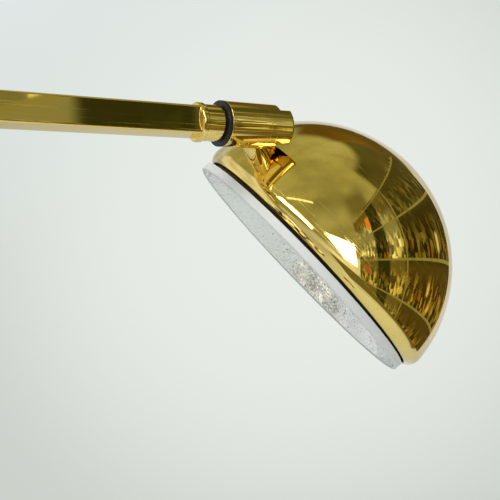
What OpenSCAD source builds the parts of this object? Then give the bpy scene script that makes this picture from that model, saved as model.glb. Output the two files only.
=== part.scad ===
// Counterbalance floor lamp in polished brass: a weighted round base, a square stem,
// a fork that turns and tilts a square arm, a counterweight behind it and, at the arm's end,
// a swivel barrel that carries a half-globe shade with an aluminium reflector.
// Millimetres, +Z up, origin on the floor under the centre of the base, arm along +X.

/* [Base] */
// Diameter of the brass base cover
base_d = 250; // [200:1:300]
// Height of the base cover's top above the floor
base_h = 22; // [18:1:40]
// Rounding of the base cover's upper edge
base_edge_r = 5; // [3:0.5:9]
// Sheet thickness of the base cover
base_wall = 1; // [0.6:0.1:2]
// Gap between the cover's skirt and the floor
skirt_gap = 1; // [0.5:0.1:1.5]
// Thickness of the felt under the weight
felt_t = 2; // [1.6:0.1:4]
// Diameter of the opening in the felt
felt_hole_d = 60; // [54:1:90]
// Width of the felt's setback from the weight's edge
felt_setback = 3; // [1:0.5:10]
// Diameter of the nut recess under the weight
recess_d = 44; // [36:1:52]
// Ceiling height of the nut recess above the floor
recess_z = 13; // [12:0.5:16]
// Diameter of the flange that trims the stem's foot
foot_d = 40; // [30:1:60]
// Height of that flange
foot_h = 9; // [6:0.5:16]
// Hole of the cord bush in the skirt
bush_d = 9; // [7:0.5:10]
// Height of the cord bush above the floor
bush_z = 9; // [8:0.5:11]
// Bore of the cord bush
bush_bore = 6.5; // [5:0.1:6.8]

/* [Stem] */
// Width of the square stem tube
stem_w = 16; // [14:0.5:22]
// Wall of the stem tube
stem_wall = 1.2; // [0.8:0.1:1.8]
// Outside corner radius of the stem tube
stem_corner = 1.2; // [0.5:0.1:2]
// Length of the stem tube
stem_len = 1080; // [800:10:1300]
// Length of the plug brazed into the stem's foot
plug_len = 30; // [20:1:60]
// Length of a fitting's spigot inside its tube
spigot_len = 16; // [10:1:30]
// Diameter of the collar at the stem's top
stem_collar_d = 24; // [22.7:0.1:30]
// Thickness of the collar at the stem's top
stem_collar_t = 4; // [2:0.5:6]
// Diameter of the neck at the stem's top
stem_neck_d = 21; // [18:0.1:22]
// Length of the neck at the stem's top
stem_neck_len = 10; // [9:0.5:16]

/* [Switch] */
// Height of the switch above the floor
switch_z = 880; // [500:10:1000]
// Diameter of the switch housing
switch_d = 26; // [24:0.5:34]
// Length of the switch housing
switch_len = 28; // [26:1:40]
// Wall of the switch housing
switch_wall = 1.5; // [1:0.1:2]
// Diameter of the neck between the housing and the stem
switch_neck_d = 13; // [11:0.5:14]
// Length of that neck
switch_neck_len = 5; // [3:0.5:12]
// Diameter of the dimmer's threaded bush
dimmer_bush_d = 9.5; // [8.5:0.1:11]
// Diameter of the dimmer's shaft
dimmer_shaft_d = 6; // [5:0.1:6.5]
// Depth of the dimmer's body
dimmer_len = 14; // [10:1:18]
// Diameter of the switch knob
switch_knob_d = 20; // [16:0.5:26]
// Length of the switch knob
switch_knob_len = 13; // [11:0.5:20]

/* [Fork and pivot] */
// Thickness of the fork's floor
fork_floor = 13; // [11:0.5:18]
// Depth of the fork's slot below the pivot
fork_slot = 25; // [24:0.5:32]
// Width of the fork along the arm
fork_w = 22; // [20:0.5:24]
// Thickness of each fork cheek
cheek_t = 5; // [4:0.5:8]
// Diameter of the pivot bolt
pivot_d = 8; // [6:0.5:9]
// Diameter of the pivot bolt's head
pivot_head_d = 16; // [13:0.5:20]
// Thickness of the pivot bolt's head
pivot_head_t = 5; // [3:0.5:8]
// Diameter of the two pivot washers
pivot_washer_d = 18; // [14:0.5:20]
// Thickness of the two pivot washers
pivot_washer_t = 1; // [0.6:0.1:2]
// Thickness of the steel washer under the tension knob
tension_washer_t = 1.5; // [1:0.1:3]
// Diameter of the tension knob
tension_knob_d = 26; // [22:0.5:34]
// Length of the tension knob
tension_knob_len = 16; // [14:0.5:24]
// Grooves around a knob's rim
knob_grooves = 24; // [12:1:30]
// Radius of each knob groove
groove_r = 0.9; // [0.5:0.1:1.1]
// Length of the pivot block along the arm
block_len = 36; // [36:1:44]
// Width of the pivot block
block_w = 16; // [15:0.5:20]
// Height of the pivot block
block_h = 18; // [16:0.5:19]

/* [Arm] */
// Width of the square arm tube
arm_w = 12; // [11.6:0.1:12.6]
// Wall of the arm tube
arm_wall = 1.2; // [0.8:0.1:1.2]
// Outside corner radius of the arm tube
arm_corner = 1; // [0.5:0.1:2]
// Reach from the pivot to the end of the arm tube
arm_reach = 620; // [450:10:800]
// Depth of the arm tubes in the pivot block
socket_depth = 12; // [8:0.5:12]
// Distance from the pivot to the counterweight's front face
tail_reach = 189.5; // [110:0.5:260]
// Depth of the tail tube in the counterweight
tail_depth = 26; // [16:1:40]
// Diameter of the counterweight
weight_d = 52; // [40:1:60]
// Length of the counterweight
weight_len = 104; // [60:1:130]
// Rounding of the counterweight's edges
weight_edge_r = 3; // [1:0.5:6]
// Diameter of the screw that locks the counterweight
lock_d = 5; // [4:0.5:6]
// Diameter of the collar at the arm's end
collar_d = 17; // [16.6:0.1:20]
// Thickness of that collar
collar_t = 3; // [2:0.1:5]
// Diameter of the neck behind the head washer
neck_d = 15.8; // [14:0.1:16]
// Length of that neck
neck_len = 9; // [9:0.5:14]
// Rounding of a collar's edge towards its tube
collar_rear_r = 1.2; // [0.4:0.1:1.4]
// Rounding of a collar's edge towards its neck
collar_front_r = 0.5; // [0.2:0.1:0.6]
// Chamfer at a neck's end
neck_chamfer = 1; // [0.4:0.1:1.5]
// Diameter of the leads inside the tubes
lead_d = 5; // [3:0.1:5.6]

/* [Head swivel] */
// Diameter of the hollow studs that both swivels turn on
stud_d = 10; // [9:0.1:10.5]
// Bore of the hollow studs
stud_bore = 6.5; // [6:0.1:7.5]
// Depth of the studs in their necks
stud_depth = 8; // [5:0.5:8]
// Diameter of the ring nuts on the studs
ring_nut_d = 14.6; // [13:0.1:15]
// Thickness of the ring nuts
ring_nut_t = 4; // [3:0.1:4.4]
// Thickness of the spring washers under the ring nuts
spring_t = 1.2; // [0.8:0.1:1.4]
// Thickness of the fork's black swivel washer
washer_t = 2.4; // [1.5:0.1:4]
// Thickness of the head's black swivel washer
head_washer_t = 1.6; // [1.2:0.1:3]
// Diameter of the swivel barrel
barrel_d = 20; // [19:0.1:21]
// Length of the swivel barrel without its end plug
barrel_len = 26.2; // [24.5:0.1:32]
// Thickness of the barrel's front wall
barrel_front = 3.5; // [2.5:0.1:4.5]
// Diameter of the hollow in the barrel
barrel_bore = 15.6; // [15.5:0.1:16]
// Length of the end plug outside the barrel
end_plug_len = 6.6; // [5:0.1:10]
// Depth of the end plug inside the barrel
end_plug_depth = 4; // [2:0.1:4]
// Width across the end plug's spanner flats
end_plug_flats = 15.2; // [11:0.1:17]
// Turn of the spanner flats from the head's mid-plane
end_plug_turn = -18.6; // [-45:0.1:45]
// Rounding of the end plug's rim
end_plug_edge_r = 1.6; // [0.6:0.1:2.2]
// Distance from the washer to the point where the mounting post meets the barrel's axis
post_x = 14; // [13:0.1:16]
// Diameter of the mounting post
post_d = 10; // [9.6:0.1:11]
// Distance from the shade's skin to the barrel's axis, along the post
post_reach = 19.3; // [17:0.1:24]
// Diameter of the hollow nipple through the post
nipple_d = 8; // [7:0.1:8.4]
// Bore of that nipple
nipple_bore = 5; // [4:0.1:5.6]
// Roll of the head about the arm
head_roll = 33.5; // [-60:0.5:60]
// Angle between the arm and the shade's own axis
head_tilt = 49.2; // [42:0.1:56]

/* [Shade and lamp] */
// Outside diameter of the half-globe shade
shade_d = 150; // [146:1:160]
// Sheet thickness of the shade
shade_wall = 0.9; // [0.6:0.1:1.2]
// Radius of the shade's rolled-in rim
rim_r = 6.8; // [5:0.1:8]
// Height of the rim's lowest line above the plane through the globe's centre
rim_z = 0.6; // [0.2:0.1:1.5]
// Angle that the rim turns in by
rim_turn = 67; // [40:1:75]
// Angle of the mounting post above the globe's centre plane
post_lat = 11.6; // [10:0.1:14]
// Outside diameter of the reflector's lip
lip_d = 145; // [143:0.5:145]
// Height of the reflector's lip
lip_h = 3.5; // [2.5:0.1:4.5]
// Radius of the roll along the lip's lower edge
lip_roll_r = 0.9; // [0.6:0.1:1]
// Distance of the lip's top below the globe's centre plane
lip_drop = 0.2; // [0:0.1:1]
// Depth of the reflector's dish above the globe's centre plane
reflector_depth = 29; // [27:0.5:30]
// Sheet thickness of the reflector
reflector_wall = 0.8; // [0.6:0.1:1]
// Distance of the reflector's axis from the globe's axis, taken up in its clamp
reflector_shift = 1.8; // [0:0.1:1.8]
// Direction of that shift around the globe's axis
reflector_shift_turn = 133; // [0:1:360]
// Width of the strap that holds the lamp socket
strap_w = 12; // [11:0.5:14]
// Thickness of that strap
strap_t = 1.2; // [0.8:0.1:1.4]
// Thickness of the thin nuts inside the shade
thin_nut_t = 2.2; // [2:0.1:2.4]
// Width across the flats of those nuts
thin_nut_flats = 12; // [11.5:0.1:12.5]
// Diameter of the lamp socket's body
socket_d = 27; // [25.5:0.1:28]
// Diameter of the socket's threaded stub
stub_d = 10; // [9:0.1:10.4]
// Diameter of the well for the bulb's cap
well_d = 17; // [16:0.1:18]
// Diameter of the bulb's cap
cap_d = 14; // [13:0.1:14.4]
// Length of the bulb's cap
cap_len = 20; // [16:0.5:21]
// Diameter of the bulb's glass
bulb_d = 20; // [16:0.5:24]
// Length of the bulb's glass below its cap
bulb_len = 20; // [17:0.5:22]

/* [Fits] */
// Clearance all round a fixed fit
fit = 0.1; // [0.05:0.01:0.15]
// Radial clearance of a running fit
run = 0.05; // [0.02:0.01:0.09]
// Gap between curved faces that lie against each other
seat = 0.05; // [0.02:0.01:0.2]

/* [Hidden] */
$fn = 64;
eps = 1;

// Base heights
base_r = base_d / 2;
weight_r = base_r - base_wall - fit;
cover_under = base_h - base_wall;
rod_nut_t = 5;
rod_washer_t = 2;
rod_washer_d = 28;
rod_bottom = recess_z - rod_washer_t - rod_nut_t - 1;
rod_grip = plug_len - 8;

// Stem and fork heights
stem_in = stem_w - 2 * stem_wall;
stem_top = base_h + stem_len;
neck_top = stem_top + stem_collar_t + stem_neck_len;
fork_z = neck_top + washer_t;
slot_z = fork_z + fork_floor;
arm_z = slot_z + fork_slot;
cheek_in = block_w / 2 + pivot_washer_t + run;
cheek_out = cheek_in + cheek_t;
nut_seat = fork_floor - spring_t - ring_nut_t - 1.4;
cheek_r = pivot_washer_d / 2 + 1;

// Arm stations along X, and the hole that lets the lead into the arm
arm_in = arm_w - 2 * arm_wall;
block_corner = 2;
tube_seat = block_len / 2 - socket_depth;
lead_inset = 3;
lead_ease = 0.6;
lead_hole_x = tube_seat + lead_inset;
lead_hole_d = lead_d + lead_ease;
washer_x = arm_reach + collar_t + neck_len;
barrel_x = washer_x + head_washer_t;

// Head, in the globe's own axes: +Z out of the shade's crown, post on the -X side
shade_r = shade_d / 2;
shade_in = shade_r - shade_wall;
post_end = shade_r + post_reach;
post_foot = [-post_end * cos(post_lat), 0, post_end * sin(post_lat)];
rim_lat = asin((rim_z + rim_r) / (shade_r - rim_r));
rim_c = [(shade_r - rim_r) * cos(rim_lat), rim_z + rim_r];
rim_lap = 3;
nut_corner = thin_nut_flats / 2 / cos(30);
nut_top = sqrt(shade_in * shade_in - nut_corner * nut_corner) - seat;
strap_out = nut_top - thin_nut_t - fit;
strap_in = strap_out - strap_t;
inner_nut_top = sqrt(strap_in * strap_in - nut_corner * nut_corner) - seat;
nipple_in = inner_nut_top - thin_nut_t - 0.4;

// Reflector: a flat that the socket clamps, a spherical dish and a lip that turns back up
clamp_lap = 0.6;
dish_hole_r = socket_d / 2 + reflector_shift + fit;
shoulder_r = dish_hole_r + reflector_shift + clamp_lap;
socket_ring_r = shoulder_r + 1.5;
dish_flat_r = socket_ring_r + reflector_shift + fit;
lip_r = lip_d / 2;
mouth_r = lip_r - 2 * lip_roll_r;
mouth_z = lip_roll_r - lip_drop - lip_h;
dish_zc = (dish_flat_r * dish_flat_r + reflector_depth * reflector_depth - mouth_r * mouth_r
           - mouth_z * mouth_z) / (2 * (reflector_depth - mouth_z));
dish_r = sqrt(mouth_r * mouth_r + (mouth_z - dish_zc) * (mouth_z - dish_zc));

// Lamp socket heights above the globe's centre plane
shoulder_z = reflector_depth + reflector_wall;
socket_ring_t = 5;
socket_proud = 0.6;
socket_mouth = reflector_depth - socket_ring_t - socket_proud;
stub_seat = sqrt(strap_in * strap_in - stub_d * stub_d) - seat;
stub_nut_t = 1.8;
stub_nut_flats = 13;
strap_past_crown = 12;
strap_past_post = 7;
stub_nut_seat = strap_out + seat;
cone_len = 8;
cone_z = stub_seat - cone_len;
cap_gap = 0.6;
cap_top = socket_mouth + cap_len + cap_gap;
well_gap = 0.3;
well_top = cap_top + well_gap;
cap_base = cap_top - cap_len;

// Finishes
brass = [0.80, 0.62, 0.25];
black = [0.05, 0.05, 0.05];
steel = [0.62, 0.63, 0.65];
iron = [0.22, 0.22, 0.23];
felt = [0.12, 0.16, 0.13];
alloy = [0.84, 0.85, 0.86];
porcelain = [0.92, 0.91, 0.88];
opal = [0.96, 0.96, 0.94];
phenolic = [0.20, 0.14, 0.10];

// Shapes that repeat

// Square of side s with rounded corners
module rounded_square(s, r) {
    square([s - 2 * r, s], center = true);
    square([s, s - 2 * r], center = true);
    for (x = [-1, 1], y = [-1, 1])
        translate([x * (s / 2 - r), y * (s / 2 - r)]) circle(r);
}

// Rectangle w by h with rounded corners
module rounded_rect(w, h, r) {
    square([w - 2 * r, h], center = true);
    square([w, h - 2 * r], center = true);
    for (x = [-1, 1], y = [-1, 1])
        translate([x * (w / 2 - r), y * (h / 2 - r)]) circle(r);
}

// Square tube along +Z
module square_tube(w, wall, corner, len) {
    linear_extrude(len) difference() {
        rounded_square(w, corner);
        rounded_square(w - 2 * wall, max(0.2, corner - wall));
    }
}

// Turned solid of radius r and height h with rounded lower and upper edges
module turned(r, h, lo, hi) {
    rotate_extrude() turned_outline(r, h, lo, hi);
}
module turned_outline(r, h, lo, hi) {
    translate([0, lo]) square([r, h - lo - hi]);
    square([r - lo, h / 2]);
    translate([0, h / 2]) square([r - hi, h / 2]);
    if (lo > 0) translate([r - lo, lo]) circle(lo);
    if (hi > 0) translate([r - hi, h - hi]) circle(hi);
}

// Flat ring
module ring(d, bore, t) {
    difference() {
        cylinder(d = d, h = t);
        translate([0, 0, -eps]) cylinder(d = bore, h = t + 2 * eps);
    }
}

// Hexagon nut
module hex_nut(flats, bore, t) {
    difference() {
        cylinder(d = flats / cos(30), h = t, $fn = 6);
        translate([0, 0, -eps]) cylinder(d = bore, h = t + 2 * eps);
    }
}

// Round nut with a spanner slot across its face
module ring_nut() {
    difference() {
        ring(ring_nut_d, stud_d + 2 * run, ring_nut_t);
        translate([-ring_nut_d, -1, ring_nut_t - 1.4]) cube([2 * ring_nut_d, 2, 3]);
    }
}

// Hollow threaded tube
module hollow_stud(len) {
    ring(stud_d, stud_bore, len);
}

// Round knob with grooves along its rim, rounded edges and a blind bore from below
module grooved_knob(d, len, bore, depth) {
    difference() {
        turned(d / 2, len, 0.8, 2);
        translate([0, 0, -eps]) cylinder(d = bore, h = depth + eps);
        for (i = [0:knob_grooves - 1])
            rotate([0, 0, i * 360 / knob_grooves])
                translate([d / 2 + groove_r * 0.4, 0, 2]) cylinder(r = groove_r, h = len, $fn = 16);
    }
}

// Tube end fitting: square spigot, round collar and neck, drilled for the leads and a stud
module end_fitting(tube_in, collar, collar_h, neck, neck_h) {
    difference() {
        union() {
            translate([0, 0, -spigot_len]) linear_extrude(spigot_len)
                rounded_square(tube_in - 2 * fit, 0.8);
            turned(collar / 2, collar_h, collar_rear_r, collar_front_r);
            translate([0, 0, collar_h - eps]) cylinder(d = neck, h = neck_h - neck_chamfer + eps);
            translate([0, 0, collar_h + neck_h - neck_chamfer])
                cylinder(d1 = neck, d2 = neck - 2 * neck_chamfer, h = neck_chamfer);
        }
        translate([0, 0, -spigot_len - eps]) cylinder(d = stud_bore, h = spigot_len + collar_h + neck_h);
        translate([0, 0, collar_h + neck_h - stud_depth])
            cylinder(d = stud_d + 2 * run, h = stud_depth + eps);
    }
}

// Turns a piece built along +Z to lie along the arm, starting at station x
module along_arm(x) {
    translate([x, 0, arm_z]) rotate([0, 90, 0]) children();
}

// Turns a piece built along +Z to lie along the switch's axis, towards the user
module along_switch(y) {
    translate([0, y, switch_z]) rotate([90, 0, 0]) children();
}

// Places a piece built in the globe's own axes at the arm's end
module in_head() {
    translate([washer_x + post_x, 0, arm_z])
        rotate([head_roll, 0, 0])
            rotate([0, 90 - head_tilt, 0])
                translate(-post_foot) children();
}

// In the globe's axes: the line from its centre out through the mounting post
module along_post() {
    rotate([0, post_lat - 90, 0]) children();
}

// In the globe's axes: the barrel's line, with z = 0 where the neck meets the head washer
module along_barrel() {
    translate(post_foot) rotate([0, head_tilt, 0]) translate([0, 0, -post_x]) children();
}

// Base

module base_felt() color(felt)
    ring(2 * (weight_r - felt_setback), felt_hole_d, felt_t);

module base_weight() color(iron) difference() {
    translate([0, 0, felt_t])
        turned(weight_r, cover_under - felt_t - fit, 1, base_edge_r - base_wall + 0.6);
    translate([0, 0, felt_t - eps]) cylinder(d = recess_d, h = recess_z - felt_t + eps);
    cylinder(d = stud_d + 2 * fit, h = base_h + eps);
    translate([-base_r, -bush_d / 2 - 1, felt_t - eps])
        cube([base_r, bush_d + 2, bush_z + bush_d / 2 + 1 - felt_t + eps]);
}

module base_cover() color(brass) difference() {
    turned(base_r, base_h, 0, base_edge_r);
    translate([0, 0, -eps])
        turned(base_r - base_wall, cover_under + eps, 0, base_edge_r - base_wall);
    translate([0, 0, -eps]) cylinder(r = base_r + eps, h = skirt_gap + eps);
    cylinder(d = stud_d + 2 * fit, h = base_h + eps);
    translate([0, 0, bush_z]) rotate([0, -90, 0]) cylinder(d = bush_d, h = base_r + eps);
}

module base_washer() color(steel)
    translate([0, 0, recess_z - rod_washer_t]) ring(rod_washer_d, stud_d + 2 * fit, rod_washer_t);

module base_nut() color(steel)
    translate([0, 0, recess_z - rod_washer_t - rod_nut_t]) hex_nut(16, stud_d + 2 * run, rod_nut_t);

module base_rod() color(steel)
    translate([0, 0, rod_bottom]) hollow_stud(base_h + rod_grip - rod_bottom);

module cord_bush() color(black)
    translate([-base_r - 1.5, 0, bush_z]) rotate([0, 90, 0]) difference() {
        union() {
            turned(bush_d / 2 + 2, 1.5 - seat, 0.6, 0);
            cylinder(d = bush_d - 2 * fit, h = 1.5 + base_wall + 3);
        }
        translate([0, 0, -eps]) cylinder(d = bush_bore, h = 12);
    }

module foot_flange() color(brass) translate([0, 0, base_h]) difference() {
    union() {
        turned(foot_d / 2, foot_h * 0.4, 0, 1);
        rotate_extrude() foot_profile();
    }
    translate([0, 0, -eps]) linear_extrude(foot_h + 2 * eps)
        rounded_square(stem_w + 2 * fit, stem_corner + fit);
}

// Concave sweep from the flange's rim up to its throat
module foot_profile() {
    throat = stem_w * 0.5 * sqrt(2) + 1.5;
    sweep = min(foot_h * 0.6, foot_d / 2 - throat - 1);
    square([throat, foot_h]);
    difference() {
        square([throat + sweep, foot_h * 0.4 + sweep]);
        translate([throat + sweep, foot_h * 0.4 + sweep]) circle(sweep);
    }
}

// Stem

module stem_plug() color(brass) translate([0, 0, base_h]) difference() {
    linear_extrude(plug_len) rounded_square(stem_in - 2 * fit, 0.8);
    translate([0, 0, -eps]) cylinder(d = stud_d + 2 * run, h = rod_grip + eps);
    cylinder(d = stud_bore, h = plug_len + eps);
}

module stem_tube() color(brass) difference() {
    translate([0, 0, base_h]) square_tube(stem_w, stem_wall, stem_corner, stem_len);
    along_switch(0) cylinder(d = switch_neck_d - 4 + 2 * fit, h = stem_w);
}

module stem_lead() color(black)
    translate([0, 0, recess_z]) cylinder(d = lead_d, h = slot_z - recess_z - 2);

module stem_fitting() color(brass) translate([0, 0, stem_top])
    end_fitting(stem_in, stem_collar_d, stem_collar_t, stem_neck_d, stem_neck_len);

module fork_stud() color(steel) translate([0, 0, neck_top - stud_depth])
    hollow_stud(stud_depth + washer_t + nut_seat + spring_t + ring_nut_t + 0.6);

module fork_washer() color(black) translate([0, 0, neck_top])
    ring(stem_neck_d + 3, stud_d + 2 * fit, washer_t);

module fork_spring() color(steel) translate([0, 0, fork_z + nut_seat])
    ring(ring_nut_d + 0.6, stud_d + 2 * fit, spring_t);

module fork_nut() color(steel) translate([0, 0, fork_z + nut_seat + spring_t]) ring_nut();

// Switch

module switch_neck() color(brass) along_switch(-stem_w / 2) difference() {
    union() {
        translate([0, 0, -stem_wall]) cylinder(d = switch_neck_d - 4, h = stem_wall + eps);
        cylinder(d = switch_neck_d, h = switch_neck_len + eps);
        translate([0, 0, switch_neck_len]) turned(switch_d / 2, 3, 1, 0);
        translate([0, 0, switch_neck_len + 3 - eps])
            cylinder(d = switch_d - 2 * switch_wall - 2 * fit, h = 3 + eps);
    }
    translate([0, 0, -stem_wall - eps]) cylinder(d = lead_d + 1, h = switch_neck_len + 12);
}

module switch_housing() color(brass) along_switch(-stem_w / 2 - switch_neck_len - 3) difference() {
    turned(switch_d / 2, switch_len, 0, 1.5);
    translate([0, 0, -eps]) cylinder(d = switch_d - 2 * switch_wall, h = switch_len - switch_wall + eps);
    cylinder(d = dimmer_bush_d + 2 * fit, h = switch_len + eps);
}

// Station of the inside of the housing's front wall
function dimmer_y() = -stem_w / 2 - switch_neck_len - 3 - switch_len + switch_wall;
knob_gap = 0.6;
dimmer_nut_t = 2;
bush_len = switch_wall + dimmer_nut_t + 1;

module dimmer() color(phenolic) along_switch(dimmer_y()) difference() {
    union() {
        translate([0, 0, -dimmer_len]) turned(switch_d / 2 - switch_wall - 0.5, dimmer_len, 0.6, 0.6);
        cylinder(d = dimmer_bush_d, h = bush_len);
    }
    translate([0, 0, -dimmer_len / 2]) cylinder(d = dimmer_shaft_d + 2 * run, h = dimmer_len + bush_len);
}

module dimmer_nut() color(steel) along_switch(dimmer_y() - switch_wall)
    ring(dimmer_bush_d + 5, dimmer_bush_d + 2 * run, dimmer_nut_t);

module dimmer_shaft() color(steel) along_switch(dimmer_y()) translate([0, 0, 1 - dimmer_len / 2])
    cylinder(d = dimmer_shaft_d, h = dimmer_len / 2 + bush_len + knob_gap + switch_knob_len - 4);

module switch_knob() color(brass) along_switch(dimmer_y() - bush_len - knob_gap)
    grooved_knob(switch_knob_d, switch_knob_len, dimmer_shaft_d + 2 * run, switch_knob_len - 2.5);

// Fork and pivot

module fork() color(brass) difference() {
    union() {
        translate([0, 0, fork_z]) linear_extrude(fork_floor) rounded_rect(fork_w, 2 * cheek_out, 2);
        for (side = [-1, 1])
            translate([0, side * (cheek_in + cheek_out) / 2, 0]) rotate([90, 0, 0])
                translate([0, 0, -cheek_t / 2]) linear_extrude(cheek_t) cheek_outline();
    }
    translate([0, 0, fork_z - eps]) cylinder(d = stud_d + 2 * run, h = fork_floor + 2 * eps);
    translate([0, 0, fork_z + nut_seat]) cylinder(d = ring_nut_d + 1.4, h = fork_floor);
    translate([0, 0, arm_z]) rotate([90, 0, 0])
        cylinder(d = pivot_d + 2 * run, h = 4 * cheek_out, center = true);
}

// A cheek narrows from the fork's floor to a round eye at the pivot
module cheek_outline() {
    translate([0, arm_z]) circle(cheek_r);
    polygon([[-fork_w / 2, slot_z - eps], [fork_w / 2, slot_z - eps], [fork_w / 2, slot_z + 4],
             [cheek_r, arm_z], [-cheek_r, arm_z], [-fork_w / 2, slot_z + 4]]);
}

module pivot_bolt() color(steel) translate([0, 0, arm_z]) rotate([-90, 0, 0])
    translate([0, 0, -cheek_out]) {
        translate([0, 0, -pivot_head_t]) turned(pivot_head_d / 2, pivot_head_t, 1.5, 0);
        cylinder(d = pivot_d, h = 2 * cheek_out + tension_washer_t + tension_knob_len - 4);
    }

module pivot_washers() color(black) for (side = [-1, 1])
    translate([0, side * (block_w / 2 + run / 2 + pivot_washer_t / 2), arm_z]) rotate([90, 0, 0])
        translate([0, 0, -pivot_washer_t / 2]) ring(pivot_washer_d, pivot_d + 2 * fit, pivot_washer_t);

module tension_washer() color(steel) translate([0, cheek_out, arm_z]) rotate([-90, 0, 0])
    ring(pivot_washer_d, pivot_d + 2 * fit, tension_washer_t);

module tension_knob() color(brass)
    translate([0, cheek_out + tension_washer_t, arm_z]) rotate([-90, 0, 0])
        grooved_knob(tension_knob_d, tension_knob_len, pivot_d + 2 * run, tension_knob_len - 3);

module pivot_block() color(brass) translate([0, 0, arm_z]) difference() {
    rotate([90, 0, 0]) translate([0, 0, -block_w / 2]) linear_extrude(block_w)
        rounded_rect(block_len, block_h, block_corner);
    rotate([90, 0, 0]) cylinder(d = pivot_d + 2 * run, h = 2 * block_w, center = true);
    for (side = [-1, 1])
        rotate([0, side * 90, 0]) translate([0, 0, tube_seat]) linear_extrude(block_len)
            rounded_square(arm_w + 2 * fit, arm_corner);
    translate([lead_hole_x, 0, -block_h]) cylinder(d = lead_hole_d, h = block_h);
}

// Arm

module arm_tube() color(brass) difference() {
    along_arm(tube_seat) square_tube(arm_w, arm_wall, arm_corner, arm_reach - tube_seat);
    translate([lead_hole_x, 0, arm_z - arm_w]) cylinder(d = lead_hole_d, h = arm_w);
}

module tail_tube() color(brass)
    along_arm(-tail_reach - tail_depth)
        square_tube(arm_w, arm_wall, arm_corner, tail_reach + tail_depth - tube_seat);

module counterweight() color(brass) difference() {
    along_arm(-tail_reach - weight_len) turned(weight_d / 2, weight_len, weight_edge_r, weight_edge_r);
    along_arm(-tail_reach - tail_depth) linear_extrude(tail_depth + eps)
        rounded_square(arm_w + 2 * fit, arm_corner);
    translate([-tail_reach - tail_depth / 2, 0, arm_z - weight_d])
        cylinder(d = lock_d + 2 * fit, h = weight_d);
}

module lock_screw() color(steel)
    translate([-tail_reach - tail_depth / 2, 0, arm_z - weight_d / 2 + 1]) difference() {
        cylinder(d = lock_d, h = weight_d / 2 - arm_w / 2 - 1 - seat);
        translate([-lock_d, -0.5, -eps]) cube([2 * lock_d, 1, 1.5 + eps]);
    }

module arm_fitting() color(brass) along_arm(arm_reach)
    end_fitting(arm_in, collar_d, collar_t, neck_d, neck_len);

module arm_lead() color(black)
    along_arm(tube_seat + 1) cylinder(d = lead_d, h = barrel_x + barrel_front + 4 - tube_seat);

// Head swivel

module head_stud() color(steel) along_arm(washer_x - stud_depth)
    hollow_stud(stud_depth + head_washer_t + barrel_front + spring_t + ring_nut_t + 0.6);

module head_washer() color(black) along_arm(washer_x) difference() {
    turned(barrel_d / 2, head_washer_t, 0.2, 0.2);
    translate([0, 0, -eps]) cylinder(d = stud_d + 2 * fit, h = head_washer_t + 2 * eps);
}

module head_spring() color(steel) along_arm(barrel_x + barrel_front)
    ring(ring_nut_d + 0.4, stud_d + 2 * fit, spring_t);

module head_nut() color(steel) along_arm(barrel_x + barrel_front + spring_t) ring_nut();

module swivel_barrel() color(brass) in_head() difference() {
    along_barrel() translate([0, 0, head_washer_t]) difference() {
        turned(barrel_d / 2, barrel_len, 0.3, 0);
        translate([0, 0, barrel_front]) cylinder(d = barrel_bore, h = barrel_len);
        translate([0, 0, -eps]) cylinder(d = stud_d + 2 * run, h = barrel_front + 2 * eps);
    }
    along_post() translate([0, 0, shade_r]) cylinder(d = nipple_d + 2 * fit, h = post_reach);
}

module end_plug() color(brass) in_head() along_barrel() translate([0, 0, head_washer_t + barrel_len]) {
    translate([0, 0, -end_plug_depth]) {
        cylinder(d = barrel_bore - 2 * fit, h = end_plug_depth);
        cylinder(d = end_plug_flats / 2, h = end_plug_depth + end_plug_len / 2);
    }
    intersection() {
        turned(barrel_d / 2, end_plug_len, 0, end_plug_edge_r);
        rotate([0, 0, end_plug_turn]) translate([-end_plug_flats / 2, -barrel_d, 0])
            cube([end_plug_flats, 2 * barrel_d, end_plug_len]);
    }
}

module mount_post() color(brass) in_head() difference() {
    along_post() translate([0, 0, shade_r - 2]) cylinder(d = post_d, h = post_reach + 2);
    sphere(r = shade_r + seat, $fn = 128);
    along_barrel() translate([0, 0, -eps]) cylinder(d = barrel_d + 2 * seat, h = 2 * barrel_len);
    along_post() cylinder(d = nipple_d + 2 * fit, h = post_end + eps);
}

module shade_nipple() color(steel) in_head() difference() {
    along_post() translate([0, 0, nipple_in]) cylinder(d = nipple_d, h = post_end - nipple_in);
    along_barrel() translate([0, 0, head_washer_t]) cylinder(d = barrel_bore, h = 2 * barrel_len);
    along_post() cylinder(d = nipple_bore, h = post_end + eps);
}

module shade_nuts() color(steel) in_head() along_post() {
    translate([0, 0, nut_top - thin_nut_t]) hex_nut(thin_nut_flats, nipple_d + 2 * run, thin_nut_t);
    translate([0, 0, inner_nut_top - thin_nut_t]) hex_nut(thin_nut_flats, nipple_d + 2 * run, thin_nut_t);
}

// Shade and lamp

module shade() color(brass) in_head() difference() {
    rotate_extrude($fn = 128) {
        globe_section();
        rim_section();
    }
    along_post() translate([0, 0, shade_in - 5]) cylinder(d = nipple_d + 2 * fit, h = 10);
}

// The globe's wall from its crown down to the line where the rim's curve begins
module globe_section() {
    intersection() {
        difference() {
            circle(shade_r, $fn = 128);
            circle(shade_in, $fn = 128);
        }
        polygon([[0, 0], [2 * shade_r * cos(rim_lat), 2 * shade_r * sin(rim_lat)],
                 [2 * shade_r, 2 * shade_r], [0, 2 * shade_r]]);
    }
}

// The rolled-in rim, tangent to the globe's wall and lapped into it
module rim_section() {
    translate(rim_c) intersection() {
        difference() {
            circle(rim_r);
            circle(rim_r - shade_wall);
        }
        polygon([[0, 0], [3 * rim_r * cos(rim_turn), -3 * rim_r * sin(rim_turn)], [4 * rim_r, -4 * rim_r],
                 [4 * rim_r, 4 * rim_r * tan(rim_lat + rim_lap)]]);
    }
}

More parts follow.
